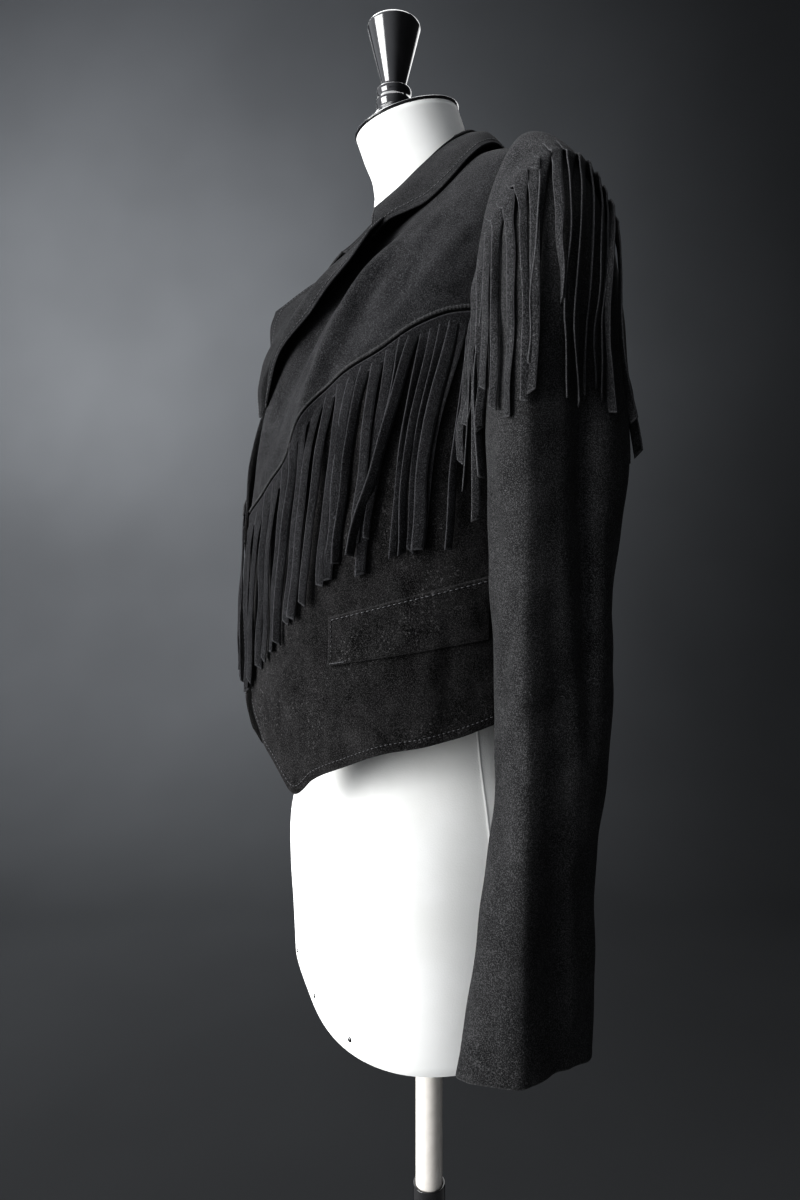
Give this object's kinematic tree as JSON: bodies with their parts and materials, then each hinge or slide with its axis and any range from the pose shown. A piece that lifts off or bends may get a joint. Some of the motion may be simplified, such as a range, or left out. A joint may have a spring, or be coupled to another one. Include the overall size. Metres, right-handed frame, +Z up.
{
  "type": "fringed suede jacket on a limbless dress form with stand",
  "caption": "Short open western jacket in suede, with fringe hanging from the chest yokes and armholes, worn by a limbless dress form on a pole and round base.",
  "frame": {"origin": "centre of the round base's underside, on the floor", "axes": "+Z up; the jacket faces -Y; the wearer's left is +X"},
  "size_m": [0.5594, 0.38, 1.7225],
  "materials": {
    "black_suede": "brushed nap, no shine",
    "form_cover": "smooth off-white, faint sheen",
    "gloss_black": "polished black",
    "cream_enamel": "glossy cream enamel"
  },
  "bodies": {
    "root": {"armhole_fringe_left": "black_suede", "armhole_fringe_right": "black_suede", "back": "black_suede", "collar": "black_suede", "finial": "gloss_black", "form_torso": "form_cover", "front_lower_left": "black_suede", "front_lower_right": "black_suede", "front_yoke_left": "black_suede", "front_yoke_right": "black_suede", "lapel_left": "black_suede", "lapel_right": "black_suede", "neck_cap": "gloss_black", "piping_left": "black_suede", "piping_right": "black_suede", "pocket_flap_left": "black_suede", "pocket_flap_right": "black_suede", "pole": "cream_enamel", "sleeve_left": "black_suede", "sleeve_right": "black_suede", "stand_base": "gloss_black", "stand_tube": "gloss_black", "yoke_fringe_left": "black_suede", "yoke_fringe_right": "black_suede"}
  },
  "joints": []
}
